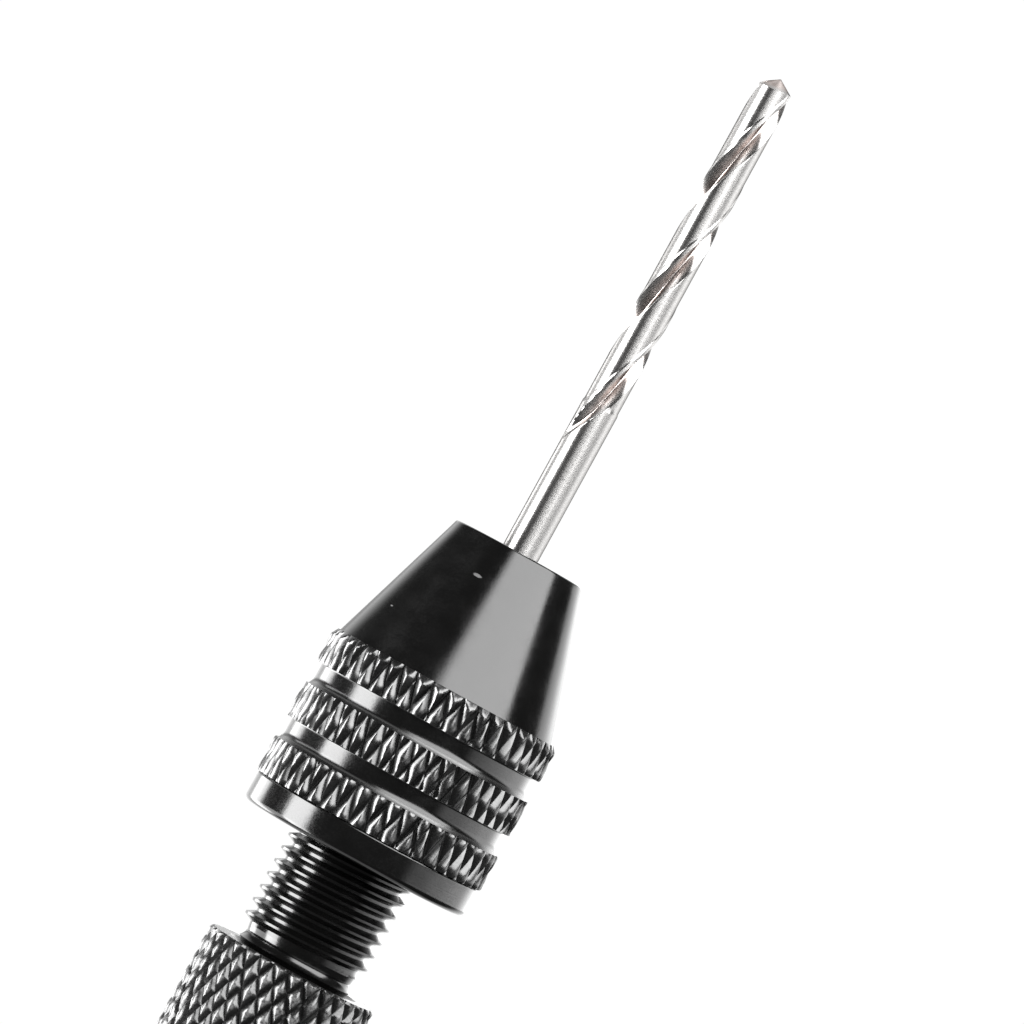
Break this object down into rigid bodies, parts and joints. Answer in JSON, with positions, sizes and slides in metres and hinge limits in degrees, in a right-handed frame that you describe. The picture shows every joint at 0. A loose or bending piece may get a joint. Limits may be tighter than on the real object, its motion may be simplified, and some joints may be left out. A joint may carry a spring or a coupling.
{
  "type": "pin vise drill",
  "caption": "Small hand drill: knurled handle with a free-turning palm cap, threaded spindle and keyless three-jaw chuck holding a twist drill.",
  "frame": {"origin": "centre of the swivel cap's flat end, which the tool stands on", "axes": "+Z along the tool's axis, from the cap towards the drill's point"},
  "size_m": [0.013, 0.013, 0.1157],
  "materials": {
    "cap_anodised": "satin",
    "plain_aluminium": "satin",
    "bearing_brass": "satin",
    "bright_steel": "satin",
    "bearing_steel": "polished",
    "handle_knurl": "satin",
    "spindle_black": "gloss",
    "chuck_black": "gloss",
    "jaw_steel": "satin",
    "spring_steel": "polished",
    "drill_steel": "polished"
  },
  "bodies": {
    "handle": {"handle_body": "handle_knurl", "spindle": "spindle_black", "axle_screw": "bright_steel", "bearing_race_upper": "bearing_steel"},
    "cap": {"swivel_cap": "cap_anodised", "palm_disc": "plain_aluminium", "axle_bush": "bearing_brass", "head_washer": "bright_steel", "bearing_race_lower": "bearing_steel"},
    "ball_set": {"ball_cage": "bearing_brass", "bearing_balls": "bearing_steel"},
    "chuck_turning": {"thrust_disc": "bearing_steel"},
    "chuck": {"chuck_sleeve": "chuck_black", "chuck_base_ring": "chuck_black"},
    "jaw_a": {"jaw_1": "jaw_steel"},
    "jaw_b": {"jaw_2": "jaw_steel"},
    "jaw_c": {"jaw_3": "jaw_steel"},
    "spring_a": {"jaw_spring_1": "spring_steel"},
    "spring_b": {"jaw_spring_2": "spring_steel"},
    "spring_c": {"jaw_spring_3": "spring_steel"},
    "drill": {"drill_bit": "drill_steel"}
  },
  "joints": [
    {"name": "cap_swivel", "type": "hinge", "parent": "handle", "child": "cap", "pos_m": [0, 0, 0.0072], "axis": [0, 0, 1], "continuous": true},
    {"name": "balls_roll", "type": "hinge", "parent": "handle", "child": "ball_set", "pos_m": [0, 0, 0.0072], "axis": [0, 0, 1], "continuous": true},
    {"name": "chuck_turn", "type": "hinge", "parent": "handle", "child": "chuck_turning", "pos_m": [0, 0, 0.0767], "axis": [0, 0, 1], "range_deg": [0, 1056], "deforming": ["jaw_spring_1", "jaw_spring_2", "jaw_spring_3"]},
    {"name": "chuck_advance", "type": "slide", "parent": "chuck_turning", "child": "chuck", "axis": [0, 0, 1], "range_m": [0, 0.0022]},
    {"name": "jaw_a_slide", "type": "slide", "parent": "chuck_turning", "child": "jaw_a", "axis": [1, 0, 0], "range_m": [0, 0.0006111]},
    {"name": "jaw_b_slide", "type": "slide", "parent": "chuck_turning", "child": "jaw_b", "axis": [-0.5, 0.866, 0], "range_m": [0, 0.0006111]},
    {"name": "jaw_c_slide", "type": "slide", "parent": "chuck_turning", "child": "jaw_c", "axis": [-0.5, -0.866, 0], "range_m": [0, 0.0006111]},
    {"name": "spring_a_shift", "type": "slide", "parent": "chuck_turning", "child": "spring_a", "axis": [0.5, 0.866, 0], "range_m": [0, 0.0003061]},
    {"name": "spring_b_shift", "type": "slide", "parent": "chuck_turning", "child": "spring_b", "axis": [-1, 0, 0], "range_m": [0, 0.0003061]},
    {"name": "spring_c_shift", "type": "slide", "parent": "chuck_turning", "child": "spring_c", "axis": [0.5, -0.866, 0], "range_m": [0, 0.0003061]},
    {"name": "drill_draw", "type": "slide", "parent": "chuck_turning", "child": "drill", "axis": [0, 0, 1], "range_m": [0, 0.0105]}
  ],
  "couplings": [
    {"joint": "balls_roll", "follows": "cap_swivel", "ratio": 0.5},
    {"joint": "chuck_advance", "follows": "chuck_turn", "m_per_rad": 0.00011937},
    {"joint": "jaw_a_slide", "follows": "chuck_turn", "m_per_rad": 0.000033103},
    {"joint": "jaw_b_slide", "follows": "chuck_turn", "m_per_rad": 0.000033103},
    {"joint": "jaw_c_slide", "follows": "chuck_turn", "m_per_rad": 0.000033103},
    {"joint": "spring_a_shift", "follows": "chuck_turn", "m_per_rad": 0.000016552},
    {"joint": "spring_b_shift", "follows": "chuck_turn", "m_per_rad": 0.000016552},
    {"joint": "spring_c_shift", "follows": "chuck_turn", "m_per_rad": 0.000016552}
  ]
}
